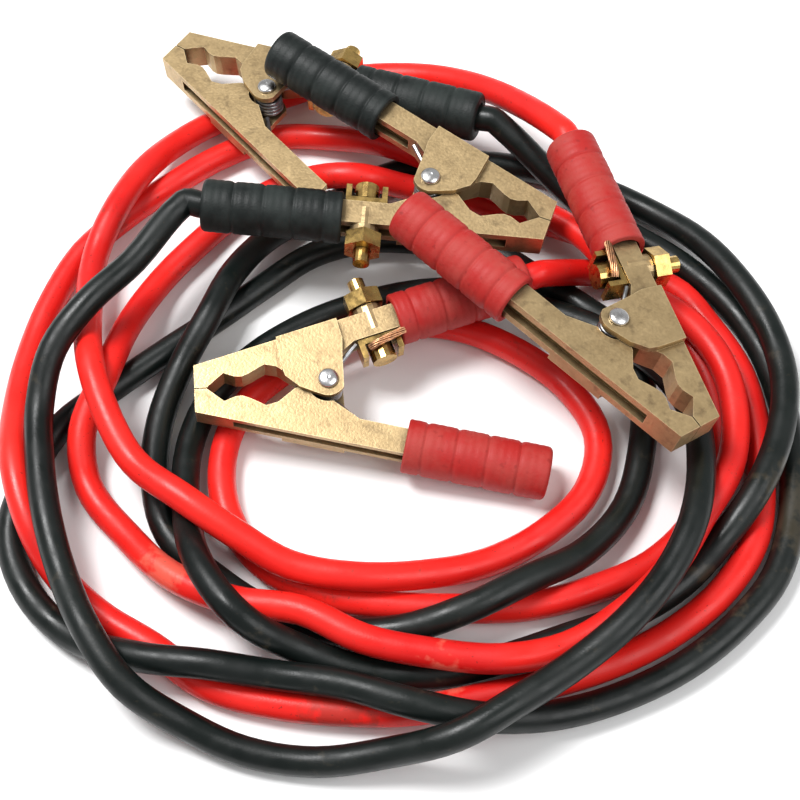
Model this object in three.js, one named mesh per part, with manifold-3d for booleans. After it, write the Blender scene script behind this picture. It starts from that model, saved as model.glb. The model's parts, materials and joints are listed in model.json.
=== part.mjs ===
// Set of car jumper cables: two heavy leads, red and black, loosely coiled one over the other, with a
// cast brass spring clamp on each end. Millimetres, +Z up, the floor at z = 0.
//
// Each clamp is made in its own frame: X runs from the rivet to the jaw tips along the line where the
// jaws meet, Z is the rivet's axis, and the lever that carries the cable is on the +Y side.
import * as THREE from 'three';
import Module from 'manifold-3d';
import { mergeVertices } from 'three/addons/utils/BufferGeometryUtils.js';

const wasm = await Module();
wasm.setup();

// Clearances between pieces that touch
const SEAT_GAP = 0.3;
const JAW_GAP = 0.5;

// Lever castings
const TIP_X = 55;
const TIP_HEIGHT = 10.2;
const LEVER_ANGLE = THREE.MathUtils.degToRad(15.5);
const LEVER_THICKNESS = 12;
const TANG_WIDTH = 11;
const TANG_CORNER_X = -12;
const CABLE_TANG_END_X = -62;
const FREE_TANG_END_X = -80;
const BARE_TANG_END_X = -56;
const FLANGE_THICKNESS = 3.1;
const OUTER_GROOVE_DEPTH = 3.4;
const OUTER_GROOVE_START_X = 40;
const INNER_GROOVE_DEPTH = 3;
const PIVOT_RELIEF_RADIUS = 8.8;
const EAR_THICKNESS = 3;

// Jaw profile: distance back from the tip and half height of each corner of one jaw
const JAW_PROFILE = [[12, 6.2], [16.5, 4.4], [19.5, 4.2], [22.5, 5.4], [29, 9], [34, 7.8], [41, 2.4], [46, 0.9]];

// Rivet and torsion spring
const RIVET_RADIUS = 3.2;
const RIVET_HEAD_RADIUS = 4.2;
const RIVET_HEAD_HEIGHT = 2.2;
const RUNNING_GAP = 0.35;
const WIRE_RADIUS = 1;
const COIL_RADIUS = 5.4;
const COIL_TURNS = 5;
const SPRING_LEG_END_X = -12.6;

// Terminal: a bolt across the cable lever that clamps the conductor
const TERMINAL_X = -20.5;
const BOLT_RADIUS = 3.6;
const BOLT_END = 6.5;
const BOSS_RADIUS = 6.3;
const BOSS_HEIGHT = 3;
const NUT_ACROSS_FLATS = 15;
const NUT_THICKNESS = 7;
const SADDLE_LENGTH = 18;
const SADDLE_WIDTH = 10.5;
const SADDLE_THICKNESS = 2.4;
const PRONG_HEIGHT = 6;
const BOLT_HEAD_RADIUS = 5.4;
const BOLT_HEAD_HEIGHT = 7.5;

// Rubber sleeves
const SLEEVE_START_X = -30;
const SLEEVE_END_X = -88;
const SLEEVE_RADIUS = 11.5;
const SLEEVE_BORE_RADIUS = 8.7;
const SLEEVE_GROOVES = 4;
const SLEEVE_GROOVE_SPACING = 13;
const SLEEVE_GROOVE_DEPTH = 0.7;
const SLEEVE_GROOVE_WIDTH = 1.6;
const SLEEVE_END_WALL = 3;

// Cables
const CABLE_RADIUS = 6;
const CABLE_SIDES = 10;
const CABLE_STEPS = 150;
const CABLE_IN_SLEEVE = 18;

const SIDES = 16;
const TAN = Math.tan(LEVER_ANGLE);
const COS = Math.cos(LEVER_ANGLE);
const SIN = Math.sin(LEVER_ANGLE);
const HALF = LEVER_THICKNESS / 2;

const outerEdge = (x) => TIP_HEIGHT + (TIP_X - x) * TAN;
const tangInner = (x) => outerEdge(x) - TANG_WIDTH / COS;
const tangCentre = (x) => outerEdge(x) - TANG_WIDTH / 2 / COS;

const brass = new THREE.MeshStandardMaterial({ color: 0xb59a62, metalness: 0.9, roughness: 0.45 });
const boltBrass = new THREE.MeshStandardMaterial({ color: 0xc9a24a, metalness: 1, roughness: 0.3 });
const steel = new THREE.MeshStandardMaterial({ color: 0xb9bcbf, metalness: 1, roughness: 0.3 });
const springSteel = new THREE.MeshStandardMaterial({ color: 0x6d7074, metalness: 1, roughness: 0.4 });
const redRubber = new THREE.MeshStandardMaterial({ color: 0xb9332c, roughness: 0.7 });
const blackRubber = new THREE.MeshStandardMaterial({ color: 0x1b1d1e, roughness: 0.7 });
const redPvc = new THREE.MeshStandardMaterial({ color: 0xe02a20, roughness: 0.45 });
const blackPvc = new THREE.MeshStandardMaterial({ color: 0x17191a, roughness: 0.5 });

// Turns a closed three.js geometry into a solid for joining and cutting
function solid(geometry) {
  const g = geometry.clone();
  g.deleteAttribute('normal');
  g.deleteAttribute('uv');
  const merged = mergeVertices(g, 1e-4);
  return new wasm.Manifold(new wasm.Mesh({
    numProp: 3,
    vertProperties: new Float32Array(merged.attributes.position.array),
    triVerts: new Uint32Array(merged.index.array),
  }));
}

// Turns a solid back into a geometry
function geometryOf(manifold) {
  const mesh = manifold.getMesh();
  const g = new THREE.BufferGeometry();
  g.setAttribute('position', new THREE.BufferAttribute(new Float32Array(mesh.vertProperties), 3));
  g.setIndex(new THREE.BufferAttribute(new Uint32Array(mesh.triVerts), 1));
  return g;
}

// Flat outline in XY, extruded from z0 to z1
function plate(points, z0, z1) {
  const shape = new THREE.Shape(points.map(([x, y]) => new THREE.Vector2(x, y)));
  const g = new THREE.ExtrudeGeometry(shape, { depth: z1 - z0, bevelEnabled: false });
  g.translate(0, 0, z0);
  return solid(g);
}

// Cylinder between two points
function rod(from, to, radius, sides = SIDES) {
  const a = new THREE.Vector3(...from);
  const b = new THREE.Vector3(...to);
  const g = new THREE.CylinderGeometry(radius, radius, a.distanceTo(b), sides);
  const up = new THREE.Vector3(0, 1, 0);
  g.applyQuaternion(new THREE.Quaternion().setFromUnitVectors(up, b.clone().sub(a).normalize()));
  g.translate((a.x + b.x) / 2, (a.y + b.y) / 2, (a.z + b.z) / 2);
  return solid(g);
}

// Points on an arc round the rivet, angles in degrees
function arc(radius, start, end, steps) {
  return Array.from({ length: steps + 1 }, (_, k) => {
    const t = THREE.MathUtils.degToRad(start + (end - start) * k / steps);
    return [radius * Math.cos(t), radius * Math.sin(t)];
  });
}

// A point measured from the tang's centre line: along runs back from the terminal, out runs away from
// the other lever
function terminalPoint(out, along = 0, z = 0) {
  return [TERMINAL_X + out * SIN - along * COS, tangCentre(TERMINAL_X) + out * COS + along * SIN, z];
}

// One lever on the +Y side with its ear on +Z
function leverSolid(tangEnd, withTerminal) {
  const jaw = JAW_PROFILE.map(([back, height]) => [TIP_X - back, height]);
  const outline = [
    [TIP_X, JAW_GAP / 2], [TIP_X, TIP_HEIGHT],
    [tangEnd, outerEdge(tangEnd)], [tangEnd, tangInner(tangEnd)],
    [TANG_CORNER_X, tangInner(TANG_CORNER_X)],
    ...arc(PIVOT_RELIEF_RADIUS, 6, 100, 8).reverse(),
    ...jaw.reverse(),
    [TIP_X - 5, JAW_GAP / 2],
  ].reverse();
  let body = plate(outline, -HALF, HALF);

  const web = HALF - FLANGE_THICKNESS;
  const past = tangEnd - 5;
  body = body.subtract(plate([
    [OUTER_GROOVE_START_X, outerEdge(OUTER_GROOVE_START_X) + 5],
    [past, outerEdge(past) + 5],
    [past, outerEdge(past) - OUTER_GROOVE_DEPTH],
    [OUTER_GROOVE_START_X, outerEdge(OUTER_GROOVE_START_X) - OUTER_GROOVE_DEPTH],
  ], -web, web));
  const grooveStart = withTerminal ? TERMINAL_X - BOSS_RADIUS - 1 : TANG_CORNER_X - 4;
  body = body.subtract(plate([
    [grooveStart, tangInner(grooveStart) + INNER_GROOVE_DEPTH],
    [past, tangInner(past) + INNER_GROOVE_DEPTH],
    [past, tangInner(past) - 5],
    [grooveStart, tangInner(grooveStart) - 5],
  ], -web, web));

  const earTop = HALF + EAR_THICKNESS;
  const overlap = 0.8;
  body = body.add(plate([
    [-6.5, 12], [-7, 17.7], [-5, outerEdge(-5)], [20.5, outerEdge(20.5)], [18.8, 6.4],
    [18.2, 4.6], [9, 4.6], ...arc(PIVOT_RELIEF_RADIUS + 0.6, 40, 95, 5),
  ].reverse(), HALF - overlap, HALF + SEAT_GAP + overlap));
  body = body.add(plate([
    [20.5, outerEdge(20.5)], [18.8, 6.4], [17.5, 2.3], [11.6, -2.8],
    ...arc(7.3, -65, -150, 6), [-6.5, 10], [-7, 17.7], [-5, outerEdge(-5)],
  ].reverse(), HALF + SEAT_GAP, earTop));
  body = body.subtract(rod([0, 0, HALF - 3], [0, 0, earTop + 3], RIVET_RADIUS + RUNNING_GAP));

  if (withTerminal) {
    body = body.add(rod(terminalPoint(-TANG_WIDTH / 4), terminalPoint(TANG_WIDTH / 2 + BOSS_HEIGHT), BOSS_RADIUS));
    body = body.subtract(rod(terminalPoint(-20), terminalPoint(20), BOLT_RADIUS + SEAT_GAP));
  }
  return body;
}

// Steel rivet through both ears, with a dome on each end
function rivetGeometry() {
  const head = HALF + EAR_THICKNESS + SEAT_GAP;
  const dome = Array.from({ length: 4 }, (_, k) => {
    const t = k / 3 * Math.PI / 2;
    return new THREE.Vector2(RIVET_HEAD_RADIUS * Math.cos(t), head + 0.4 + (RIVET_HEAD_HEIGHT - 0.4) * Math.sin(t));
  });
  dome[dome.length - 1].x = 0;
  const top = [new THREE.Vector2(RIVET_RADIUS, head), new THREE.Vector2(RIVET_HEAD_RADIUS, head), ...dome];
  const profile = [...top.map((p) => new THREE.Vector2(p.x, -p.y)).reverse(), ...top];
  const g = new THREE.LatheGeometry(profile, 12);
  g.rotateX(Math.PI / 2);
  return g;
}

// Torsion spring: the coil round the rivet, its turns showing as ridges, and the leg on the cable lever
function springGeometry() {
  const pitch = WIRE_RADIUS * 2;
  const bottom = -COIL_TURNS * pitch / 2;
  const inner = COIL_RADIUS - WIRE_RADIUS;
  const profile = [new THREE.Vector2(inner, bottom)];
  for (let k = 0; k < COIL_TURNS; k += 1) {
    for (const [r, z] of [[0.35, 0.12], [0.9, 0.5], [0.35, 0.88]]) {
      profile.push(new THREE.Vector2(COIL_RADIUS + WIRE_RADIUS * r, bottom + (k + z) * pitch));
    }
  }
  profile.push(new THREE.Vector2(inner, -bottom), new THREE.Vector2(inner, bottom));
  const g = new THREE.LatheGeometry(profile, 12);
  g.rotateX(Math.PI / 2);
  return geometryOf(solid(g).add(springLeg(COIL_RADIUS)));
}

// One leg of the spring, from the coil to the inner side of its tang
function springLeg(startRadius) {
  const t = THREE.MathUtils.degToRad(118);
  const z = COIL_TURNS * WIRE_RADIUS - WIRE_RADIUS;
  const end = [SPRING_LEG_END_X, tangInner(SPRING_LEG_END_X) - WIRE_RADIUS / COS - SEAT_GAP, z];
  return rod([startRadius * Math.cos(t), startRadius * Math.sin(t), z], end, WIRE_RADIUS, 8);
}

// Terminal bolt: round head on the inner side, shank through the tang, plain end past the nut
function boltGeometry() {
  const seat = -(TANG_WIDTH / 2 + SADDLE_THICKNESS + 2 * SEAT_GAP);
  const nutTop = TANG_WIDTH / 2 + BOSS_HEIGHT + SEAT_GAP + NUT_THICKNESS;
  const head = rod(terminalPoint(seat - BOLT_HEAD_HEIGHT), terminalPoint(seat), BOLT_HEAD_RADIUS);
  return geometryOf(head.add(rod(terminalPoint(seat - 1), terminalPoint(nutTop + BOLT_END), BOLT_RADIUS)));
}

function nutGeometry() {
  const low = TANG_WIDTH / 2 + BOSS_HEIGHT + SEAT_GAP;
  const hex = rod(terminalPoint(low), terminalPoint(low + NUT_THICKNESS), NUT_ACROSS_FLATS / Math.sqrt(3), 6);
  return geometryOf(hex.subtract(rod(terminalPoint(0), terminalPoint(30), BOLT_RADIUS + SEAT_GAP)));
}

// Saddle: a bar under the bolt head with a prong on each end
function saddleGeometry() {
  const seat = -(TANG_WIDTH / 2 + SEAT_GAP);
  const corner = (out, along) => terminalPoint(out, along).slice(0, 2);
  const low = seat - SADDLE_THICKNESS;
  const tip = low - PRONG_HEIGHT;
  const half = SADDLE_LENGTH / 2;
  const inner = half - SADDLE_THICKNESS;
  const bar = plate([
    corner(seat, half), corner(seat, -half), corner(tip, -half), corner(tip, -inner),
    corner(low, -inner), corner(low, inner), corner(tip, inner), corner(tip, half),
  ], -SADDLE_WIDTH / 2, SADDLE_WIDTH / 2);
  return geometryOf(bar.subtract(rod(terminalPoint(0), terminalPoint(-30), BOLT_RADIUS + SEAT_GAP)));
}

// Rubber sleeve over a tang, its axis along the lever. The cable lever's sleeve is open at the far end
// for the cable, and the free lever's is closed.
const sleeveAxis = (x) => [x, tangCentre(x), 0];
function sleeveGeometry(forCable) {
  const length = (SLEEVE_START_X - SLEEVE_END_X) / COS;
  const mouth = forCable ? CABLE_RADIUS + SEAT_GAP + 0.3 : 0;
  const wall = forCable ? CABLE_IN_SLEEVE : SLEEVE_END_WALL;
  const profile = [[SLEEVE_BORE_RADIUS, 0], [SLEEVE_RADIUS - 0.8, 0], [SLEEVE_RADIUS, 0.8]];
  for (let k = 0; k < SLEEVE_GROOVES; k += 1) {
    const mid = SLEEVE_GROOVE_SPACING * (k + 0.6);
    profile.push([SLEEVE_RADIUS, mid - SLEEVE_GROOVE_WIDTH / 2], [SLEEVE_RADIUS - SLEEVE_GROOVE_DEPTH, mid],
      [SLEEVE_RADIUS, mid + SLEEVE_GROOVE_WIDTH / 2]);
  }
  profile.push([SLEEVE_RADIUS, length - 1], [SLEEVE_RADIUS - 1, length]);
  profile.push([mouth, length], [mouth, length - wall], [SLEEVE_BORE_RADIUS, length - wall], [SLEEVE_BORE_RADIUS, 0]);
  const g = new THREE.LatheGeometry(profile.map(([r, y]) => new THREE.Vector2(r, y)), 16);
  const axis = new THREE.Vector3(-COS, SIN, 0);
  g.applyQuaternion(new THREE.Quaternion().setFromUnitVectors(new THREE.Vector3(0, 1, 0), axis));
  g.translate(...sleeveAxis(SLEEVE_START_X));
  return geometryOf(solid(g));
}

// Mirror a geometry across a plane of the clamp and keep its faces pointing out
function mirrored(geometry, sx, sy, sz) {
  const g = (geometry.index ? geometry : mergeVertices(geometry)).clone();
  g.scale(sx, sy, sz);
  if (sx * sy * sz < 0) {
    const index = g.index.array;
    for (let k = 0; k < index.length; k += 3) {
      const a = index[k];
      index[k] = index[k + 1];
      index[k + 1] = a;
    }
  }
  return g;
}

// The four clamps, where they lie: place of the rivet, turn about Z, tilt along the jaws and roll.
// cableSide is the side of the cable lever, and earUp says that its ear is on top.
const CLAMPS = [
  { name: 'black_clamp_a', at: [-67.5, 79.3, 26], turn: 145, pitch: 3, roll: 0, cableSide: -1, earUp: true,
    rubber: blackRubber, bareTang: true },
  { name: 'black_clamp_b', at: [6, 17.3, 39.5], turn: -19, pitch: 5, roll: 3, cableSide: -1, earUp: false,
    rubber: blackRubber },
  { name: 'red_clamp_c', at: [-36.5, -72.7, 21.979], turn: 185, pitch: -2, roll: -10, cableSide: -1, earUp: true,
    rubber: redRubber },
  { name: 'red_clamp_d', at: [79.5, -61.7, 48], turn: -57, pitch: 4, roll: -10, cableSide: 1, earUp: true,
    rubber: redRubber },
];

// Routes of the two cables, from one sleeve to the other. Each starts and ends on a sleeve's axis.
// The points are chosen by hand along the strands that lie in the coil.
const RED_ROUTE = [
  [73.3, 18.9, 46.1], [67.9, 36.1, 46.5], [65.4, 43.7, 46.7], [42.8, 77, 30.8],
  [19.1, 99.7, 17.4], [-8.3, 111.1, 8.4], [-35.2, 109.5, 6.8], [-60.6, 99.8, 6.8],
  [-85.2, 88.1, 6.8], [-107.8, 71.5, 8.6], [-123.7, 45.7, 17.2], [-134.9, 19.5, 19.6],
  [-141.9, -4.4, 16.3], [-140.6, -34.5, 20.4], [-135.1, -64.9, 31.4], [-125.7, -90.7, 30.9],
  [-112.9, -111.8, 28.4], [-92.4, -128.7, 31.5], [-71.4, -142.2, 27.1], [-49.9, -152.6, 20],
  [-24.4, -156.8, 18.2], [2.2, -153.9, 13.1], [28.6, -145.9, 7], [52.6, -132.7, 6.8],
  [70.9, -113.4, 6.8], [76.5, -88.2, 6.8], [65.3, -64.7, 6.8], [45.1, -46.7, 6.8],
  [20.8, -34.8, 6.8], [-5.7, -32.3, 6.8], [-31.3, -40.6, 6.8], [-54.5, -54.8, 6.8],
  [-72.9, -74, 6.8], [-80.4, -99.4, 6.8], [-76.3, -125.7, 6.8], [-60.9, -147.1, 6.8],
  [-37.1, -159.6, 6.8], [-10.4, -164.3, 6.8], [16.7, -165.7, 6.8], [43.8, -164.7, 6.8],
  [70.3, -157.7, 6.8], [94.7, -146.4, 6.8], [113.7, -127.7, 6.8], [125.9, -103.8, 6.8],
  [128.5, -77.1, 6.8], [123, -50.7, 6.8], [109.6, -28.9, 8.7], [96.9, -8.3, 21.7],
  [75.3, 12.6, 12.4], [49.9, 27, 6.8], [24.7, 37, 6.8], [-1.6, 39.3, 11.8],
  [-29.1, 39.1, 21.3], [-56.1, 43, 10.1], [-78.9, 31.6, 6.8], [-97.3, 11.9, 6.8],
  [-113.8, -10.2, 6.8], [-125, -37.9, 12.7], [-130.7, -67.5, 20.3], [-138.5, -90.2, 14.6],
  [-135, -111.8, 6.8], [-118.3, -133, 7.1], [-97.5, -153.8, 12.9], [-71.7, -166.6, 17.7],
  [-44.5, -171.6, 19.8], [-20.4, -183.4, 20.2], [5.6, -188.8, 19.5], [32.1, -190.9, 18.8],
  [57.8, -185.5, 17.6], [80.1, -172.3, 19.5], [99.2, -153.8, 18.6], [113.6, -131.8, 18.9],
  [127.6, -109.3, 18.8], [132.7, -83.3, 18.6], [128.9, -57.4, 18.8], [114.6, -36.5, 20.3],
  [92.4, -23.7, 24.3], [76.6, -0.1, 24.9], [56.9, 19.3, 20.1], [35.1, 33.9, 19.2],
  [11.8, 46.8, 20.2], [-12.9, 59.9, 17.7], [-39.2, 71.1, 9.1], [-66.2, 72.9, 6.8],
  [-90.5, 61.7, 6.8], [-112.2, 45.3, 6.8], [-132.2, 26.7, 6.8], [-149.7, 6.2, 6.8],
  [-160.2, -18.7, 6.8], [-166.6, -45.4, 6.8], [-168.2, -75.1, 10.7], [-164, -105.3, 19.8],
  [-155.9, -130.4, 17.2], [-144.4, -150, 9.3], [-126.1, -167.3, 6.8], [-103.1, -181.5, 6.8],
  [-81, -197.2, 6.8], [-55, -204.6, 6.8], [-27.9, -207.5, 6.8], [-0.7, -207.1, 6.8],
  [25.9, -202.1, 6.8], [52.3, -196.2, 6.8], [77.9, -187.5, 6.8], [101.4, -175, 6.8],
  [121.9, -158.1, 6.8], [137.2, -135.9, 6.8], [142.9, -109.3, 6.8], [143.8, -82.4, 6.8],
  [140.2, -56.6, 6.8], [129.5, -33.8, 6.8], [114.5, -12.9, 6.8], [87.8, -6.1, 7.3],
  [55.1, -18.9, 26.7], [47.6, -21.7, 26.6], [30.7, -27.9, 26.3],
];
const BLACK_ROUTE = [
  [-73.5, 3.1, 43.6], [-91.4, 4.2, 44.9], [-99.4, 4.7, 45.4], [-119.1, -22.4, 41.2],
  [-136.1, -42.3, 40.5], [-149.5, -62.6, 35.8], [-154.4, -83.6, 26.6], [-151.7, -109.1, 25.9],
  [-145.8, -134.6, 25.6], [-137.4, -158.1, 23.3], [-124.8, -182.6, 26.3], [-109.3, -202.5, 22.4],
  [-88.6, -213.3, 10.9], [-64.8, -223.1, 6.8], [-38.1, -227.1, 6.8], [-11.3, -225.6, 13.5],
  [14, -222.7, 25], [37.3, -210.2, 27.6], [59.3, -195.8, 27.1], [78.9, -180.6, 30.7],
  [95.8, -161.3, 31.9], [107.9, -138.5, 32.5], [114.7, -109.9, 26.4], [114.2, -82.1, 20],
  [100.1, -59.5, 20.2], [79.5, -40.7, 15.7], [56.1, -25, 8.2], [31.4, -15.4, 6.8],
  [4.3, -15, 6.8], [-22.2, -21.3, 6.8], [-47.1, -32.1, 6.8], [-69.2, -47.9, 6.8],
  [-86.6, -68.5, 6.8], [-94.6, -94.7, 7.8], [-92.8, -125.7, 14.3], [-84.7, -154.4, 27.3],
  [-67.2, -177.7, 29.2], [-45.9, -185.1, 15], [-20.7, -191.2, 6.8], [5.6, -192.8, 6.8],
  [31.9, -187, 6.8], [57.7, -178.2, 6.8], [83.3, -168.8, 6.8], [105.8, -154.8, 6.8],
  [122.9, -137.7, 12], [137.4, -119.6, 19.2], [149.2, -95.8, 19.3], [154.9, -70.1, 19.3],
  [152.3, -44.1, 19.1], [142.6, -18.6, 18.6], [128.8, 7, 13.6], [109.2, 28.5, 7.2],
  [85.7, 42.6, 6.8], [60.2, 52.3, 6.8], [33.5, 57.5, 6.8], [6.5, 56.4, 6.8],
  [-18.6, 47.4, 6.8], [-41.1, 31.3, 6.8], [-63.7, 15.3, 8.7], [-79.2, -10.9, 17.3],
  [-89.4, -37.3, 19.5], [-100.7, -57.5, 11.1], [-107.9, -80.9, 6.8], [-108.2, -108, 6.8],
  [-100.2, -133.8, 6.8], [-80.9, -152.1, 6.8], [-58.8, -166.7, 6.8], [-33.1, -174.4, 6.8],
  [-6.1, -176.5, 12.3], [19.2, -170.6, 18.9], [43.7, -158.1, 18.4], [67.8, -142.6, 10.2],
  [86.1, -121, 6.8], [94.5, -95.4, 6.8], [97.5, -68.4, 6.8], [93.7, -41.3, 6.8],
  [76.4, -24.7, 6.8], [53.7, -6.7, 6.8], [33.7, 7.3, 6.8], [6.9, 12.1, 6.8],
  [-20.2, 13, 6.8], [-45.4, 5.2, 6.8], [-66.7, -11.6, 6.8], [-87.4, -29.6, 6.8],
  [-108.6, -46.7, 6.8], [-129.1, -64.4, 6.8], [-149.2, -83, 6.8], [-160.4, -107.7, 6.8],
  [-164.4, -134.2, 6.8], [-153.9, -159.4, 6.8], [-133.8, -178.1, 7.7], [-107.1, -189.2, 16.7],
  [-80.2, -193.5, 20.1], [-54, -196.6, 16.6], [-27.5, -200.8, 17.9], [-1.8, -208.7, 19.8],
  [25, -212.5, 15.1], [52.3, -209.7, 9], [79, -201.6, 6.8], [103.7, -189.5, 6.8],
  [125.7, -172.6, 6.8], [143.8, -151.7, 6.8], [153.7, -125.5, 6.8], [157, -98.4, 6.8],
  [156.1, -71, 6.8], [149.9, -43.6, 6.8], [136.5, -18.3, 6.8], [117.5, 2, 6.8],
  [95.9, 18.4, 6.8], [74.6, 31.4, 12.7], [37.3, 62.4, 31], [29.8, 65.1, 30.6],
  [12.9, 71.1, 29.7],
];

function mesh(name, geometry, material) {
  const g = geometry.index ? geometry.toNonIndexed() : geometry;
  g.computeVertexNormals();
  const m = new THREE.Mesh(g, material);
  m.name = name;
  return m;
}

const cableLever = geometryOf(leverSolid(CABLE_TANG_END_X, true));
const freeLever = mirrored(geometryOf(leverSolid(FREE_TANG_END_X, false)), 1, -1, -1);
const bareLever = mirrored(geometryOf(leverSolid(BARE_TANG_END_X, false)), 1, -1, -1);
const freeSleeve = mirrored(sleeveGeometry(false), 1, -1, 1);
const freeLeg = mirrored(geometryOf(springLeg(COIL_RADIUS + WIRE_RADIUS + 0.8)), 1, -1, -1);

function makeClamp({ name, at, turn, pitch, roll, cableSide, earUp, rubber, bareTang }) {
  const group = new THREE.Group();
  const add = (piece, geometry, material) => {
    group.add(mesh(`${name}_${piece}`, mirrored(geometry, 1, cableSide, earUp ? 1 : -1), material));
  };
  add('cable_lever', cableLever, brass);
  add('free_lever', bareTang ? bareLever : freeLever, brass);
  add('rivet', rivetGeometry(), steel);
  add('spring', springGeometry(), springSteel);
  add('spring_leg', freeLeg, springSteel);
  add('terminal_bolt', boltGeometry(), boltBrass);
  add('terminal_nut', nutGeometry(), boltBrass);
  add('saddle', saddleGeometry(), boltBrass);
  add('cable_sleeve', sleeveGeometry(true), rubber);
  if (!bareTang) {
    add('free_sleeve', freeSleeve, rubber);
  }
  const angles = [roll, pitch, turn].map(THREE.MathUtils.degToRad);
  group.rotation.set(...angles, 'ZYX');
  group.position.set(...at);
  return group;
}

function cable(name, route, material) {
  const section = new THREE.Shape(
    Array.from({ length: CABLE_SIDES }, (_, k) => {
      const t = k / CABLE_SIDES * 2 * Math.PI;
      return new THREE.Vector2(CABLE_RADIUS * Math.cos(t), CABLE_RADIUS * Math.sin(t));
    }),
  );
  const path = new THREE.CatmullRomCurve3(route.map((p) => new THREE.Vector3(...p)));
  const g = new THREE.ExtrudeGeometry(section, { steps: CABLE_STEPS, bevelEnabled: false, extrudePath: path });
  return mesh(name, g, material);
}

const jumperCables = new THREE.Group();
for (const clamp of CLAMPS) {
  jumperCables.add(makeClamp(clamp));
}
jumperCables.add(cable('red_cable', RED_ROUTE, redPvc), cable('black_cable', BLACK_ROUTE, blackPvc));

export default jumperCables;
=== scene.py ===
# Looks of a set of car jumper cables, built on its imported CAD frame: two coiled leads and four
# cast brass spring clamps. Everything is in metres unless a name says mm; the floor is at z = 0.
import json
import math

import bmesh
import bpy
from mathutils import Euler, Matrix, Vector


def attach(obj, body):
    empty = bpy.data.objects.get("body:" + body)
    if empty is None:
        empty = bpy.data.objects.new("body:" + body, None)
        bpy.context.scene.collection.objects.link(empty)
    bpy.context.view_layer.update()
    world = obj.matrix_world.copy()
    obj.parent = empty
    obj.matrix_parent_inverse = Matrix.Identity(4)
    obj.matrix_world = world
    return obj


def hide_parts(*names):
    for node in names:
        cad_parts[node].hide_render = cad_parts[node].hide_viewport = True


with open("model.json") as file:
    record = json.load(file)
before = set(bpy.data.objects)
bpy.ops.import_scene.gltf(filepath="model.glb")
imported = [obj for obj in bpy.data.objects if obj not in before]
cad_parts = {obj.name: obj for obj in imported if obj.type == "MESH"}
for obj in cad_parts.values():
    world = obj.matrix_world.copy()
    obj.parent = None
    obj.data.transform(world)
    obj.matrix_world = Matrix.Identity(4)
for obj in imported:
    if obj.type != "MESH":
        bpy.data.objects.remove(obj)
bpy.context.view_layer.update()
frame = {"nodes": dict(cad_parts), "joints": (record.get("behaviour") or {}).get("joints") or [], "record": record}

MM = 0.001
MERGE_DISTANCE = 1e-6

# How each clamp lies: turns in degrees, the side its cable lever is on, and which way its ear faces
CLAMPS = {
    "black_clamp_a": {"turn": 145, "pitch": 3, "roll": 0, "side": -1, "ear": 1},
    "black_clamp_b": {"turn": -19, "pitch": 5, "roll": 3, "side": -1, "ear": -1},
    "red_clamp_c": {"turn": 185, "pitch": -2, "roll": -10, "side": -1, "ear": 1},
    "red_clamp_d": {"turn": -57, "pitch": 4, "roll": -10, "side": 1, "ear": 1},
}
FIXED_BODY = "leads_and_fixed_sides"

# Clamp sizes in mm, as in the CAD source
TIP_X = 55
TIP_HEIGHT = 10.2
LEVER_ANGLE = math.radians(15.5)
TANG_WIDTH = 11
TERMINAL_X = -20.5
SLEEVE_START_X = -30
SLEEVE_END_X = -88
SLEEVE_RADIUS = 11.35
SLEEVE_BORE_RADIUS = 8.7
SLEEVE_GROOVES = 4
SLEEVE_GROOVE_SPACING = 13
SLEEVE_WALL = {"cable": 18, "free": 3}
SLEEVE_MOUTH = {
    "cable": {"radius": 6.6, "flare": 0.4, "flare_depth": 0.5},
    "free": {"radius": 0, "flare": 0, "flare_depth": 0},
}
SPRING_RADIUS = 5.4
WIRE_RADIUS = 1
SPRING_TURNS = 4
SPRING_LEG_ANGLE = math.radians(118)
SPRING_LEG_END_X = -12.6
SEAT_GAP = 0.3
RIVET_HEAD_Z = 9.3
RIVET_RADIUS = 4.2
RIVET_SHANK_RADIUS = 3.2

# Finer forms than the CAD source has, in mm. SLEEVE_EDGE lists (depth, height), RIVET_DIMPLE lists
# (radius, depth), FIRST_GROOVE is a share of the groove spacing and WIRE_SHARE a share of the wire's width.
SLEEVE_EDGE = [(0.9, 0), (0.3, 0.25), (0, 0.9)]
SLEEVE_END_ROUNDING = 2.2
SLEEVE_TRIM = 0.1
SLEEVE_SIDES = 48
SLEEVE_STEPS = 110
SLEEVE_END_STEPS = 6
FIRST_GROOVE = 0.6
GROOVE_DEPTH = 0.75
GROOVE_WIDTH = 0.75
RIPPLE_DEPTH = 0.06
RIPPLE_LENGTH = 3.25
COIL_PITCH = 2.1
COIL_STEPS_PER_TURN = 24
WIRE_SIDES = 10
WIRE_SHARE = 0.98
RIVET_RIM_HEIGHT = 0.4
RIVET_DOME_HEIGHT = 1.6
RIVET_DIMPLE = [(1.0, 0.05), (0.0, 0.35)]
RIVET_SIDES = 32
RIVET_DOME_STEPS = 8

# Bare copper strands at each terminal, in mm, the twist in radians. The bundle goes along the lever from the
# sleeve over the saddle's prong and round the bolt head; start and end are measured from the bolt.
STRANDS_IN_BUNDLE = 9
BUNDLE_RADIUS = 1.25
STRAND_RADIUS = 0.42
STRAND_SIDES = 8
STRAND_TWIST = 1.6
STRANDS_START = 11.2
STRANDS_END = -4.8
STRANDS_HEIGHT = 7.1
STRANDS_OUT = -7.8
STRANDS_DRIFT = 2.6
STRANDS_STEPS = 12

# Leads, in metres. LEAD_SQUEEZE is the share of their width at which they are drawn.
CABLE_DIAMETER = 0.012
LEAD_SQUEEZE = 0.985
LEAD_ROUNDNESS = 6
LEAD_STEPS = 5

# Camera of the photograph
CAMERA_TARGET = Vector((-0.0065, -0.0667, 0))
CAMERA_DISTANCE = 0.645
CAMERA_ELEVATION = math.radians(60)
CAMERA_LENS_MM = 67.2
CAMERA_SENSOR_MM = 36

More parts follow.
